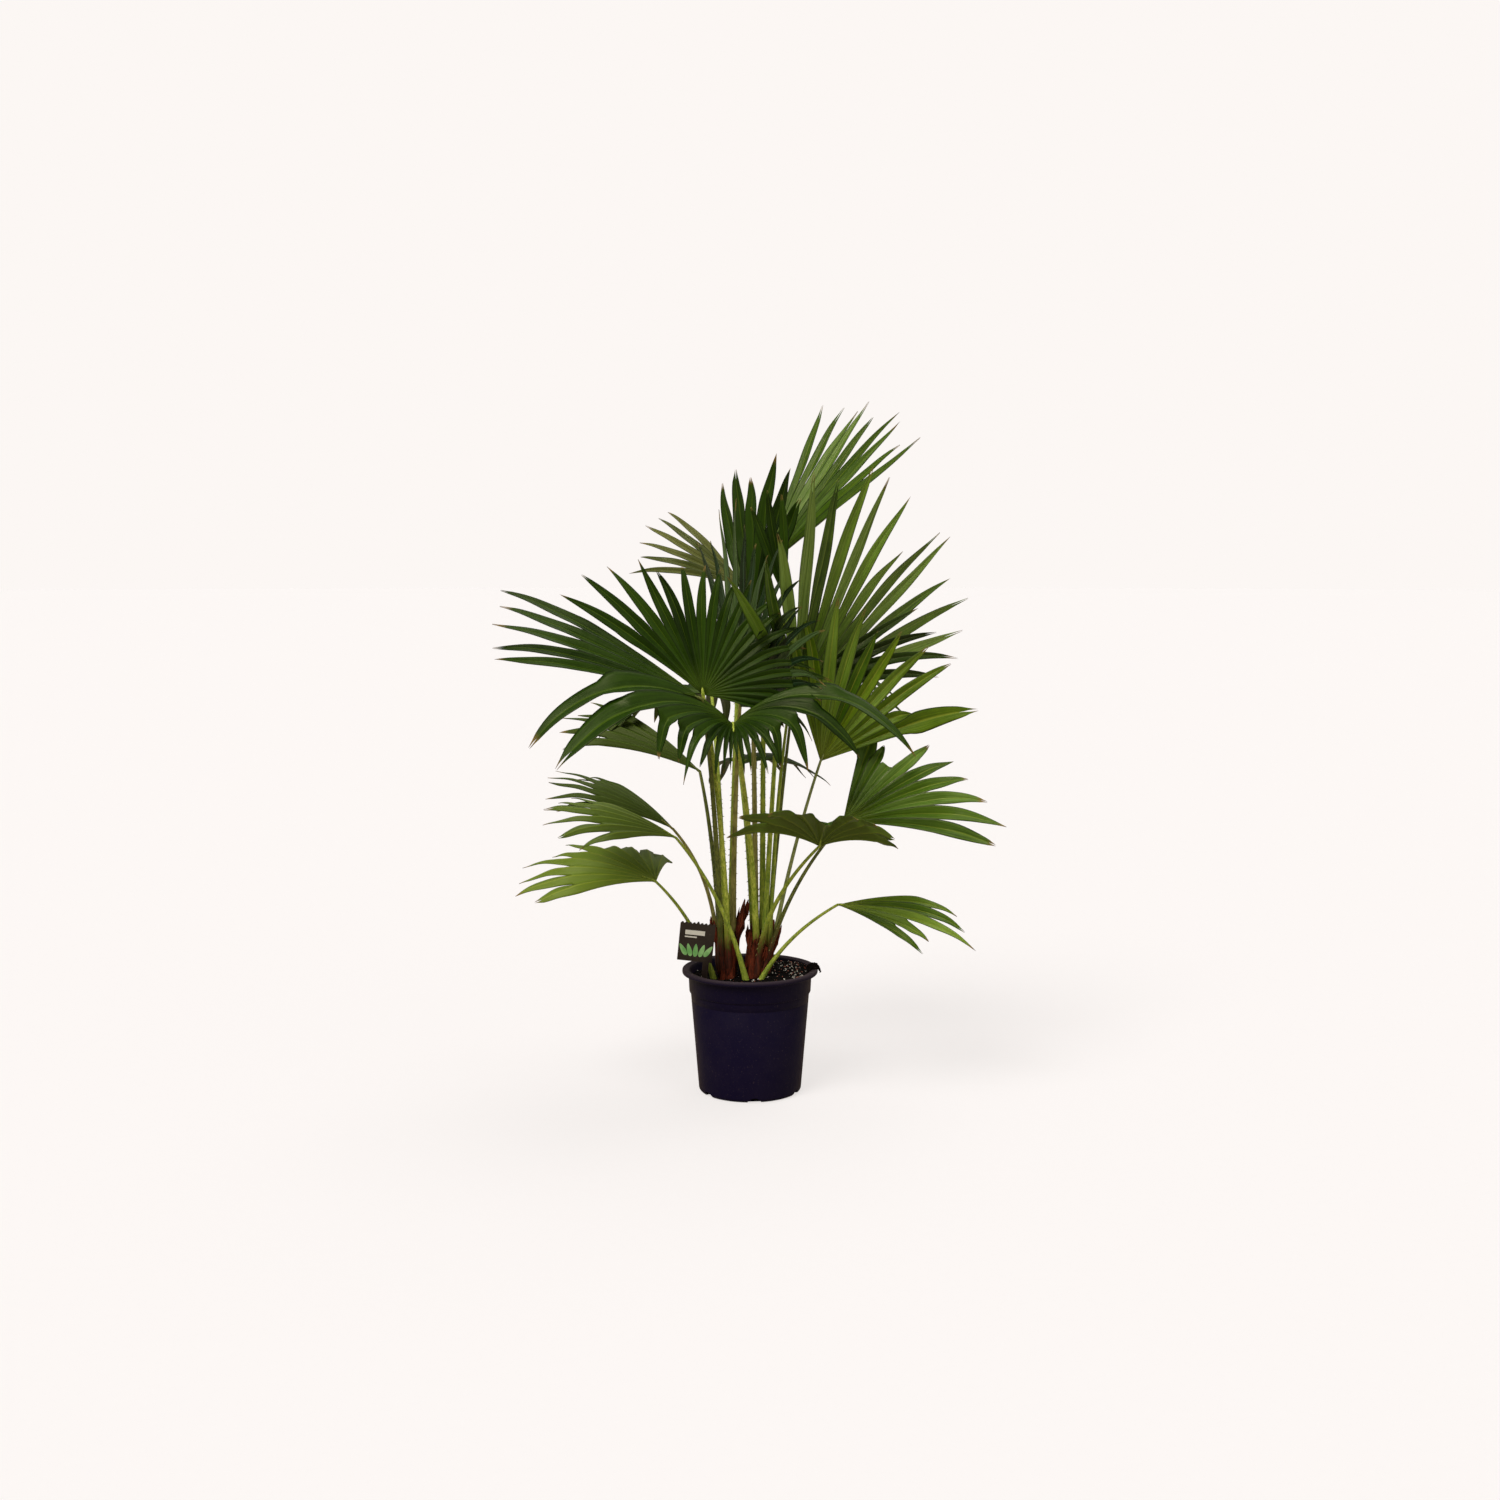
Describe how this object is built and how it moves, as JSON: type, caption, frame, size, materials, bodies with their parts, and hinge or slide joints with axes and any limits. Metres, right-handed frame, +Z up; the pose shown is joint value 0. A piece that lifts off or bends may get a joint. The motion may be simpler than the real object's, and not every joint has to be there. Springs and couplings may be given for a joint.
{
  "type": "fan palm in nursery pot",
  "caption": "Young clumping fan palm: pleated fan leaves on arching stalks from fibrous stems, in a round plant pot with soil and a label.",
  "frame": {"origin": "centre of the pot's flat underside", "axes": "+Z up along the pot's axis; +X to the right seen from the front; the front of the plant looks along -Y"},
  "size_m": [0.8592, 0.7452, 1.2302],
  "materials": {
    "pot": "satin black with a violet cast",
    "soil": "dark crumbly potting mix",
    "stem": "rough brown fibre",
    "stalk": "smooth yellow-green",
    "blade": "waxy pleated green leaf",
    "label": "satin printed card"
  },
  "bodies": {
    "root": {"blade_back_high": "blade", "blade_back_left": "blade", "blade_back_low": "blade", "blade_centre_upright": "blade", "blade_front_centre": "blade", "blade_front_left": "blade", "blade_left": "blade", "blade_left_back": "blade", "blade_low_left_back": "blade", "blade_low_left_front": "blade", "blade_low_left_mid": "blade", "blade_low_right_back": "blade", "blade_low_right_front": "blade", "blade_low_right_small": "blade", "blade_right_front": "blade", "blade_right_high": "blade", "blade_right_mid": "blade", "blade_top_left": "blade", "blade_top_middle": "blade", "blade_top_right": "blade", "blade_top_slim": "blade", "label": "label", "pot": "pot", "soil": "soil", "stalk_back_high": "stalk", "stalk_back_left": "stalk", "stalk_back_low": "stalk", "stalk_centre_upright": "stalk", "stalk_front_centre": "stalk", "stalk_front_left": "stalk", "stalk_left": "stalk", "stalk_left_back": "stalk", "stalk_low_left_back": "stalk", "stalk_low_left_front": "stalk", "stalk_low_left_mid": "stalk", "stalk_low_right_back": "stalk", "stalk_low_right_front": "stalk", "stalk_low_right_small": "stalk", "stalk_right_front": "stalk", "stalk_right_high": "stalk", "stalk_right_mid": "stalk", "stalk_top_left": "stalk", "stalk_top_middle": "stalk", "stalk_top_right": "stalk", "stalk_top_slim": "stalk", "stem_left": "stem", "stem_right": "stem"}
  },
  "joints": []
}
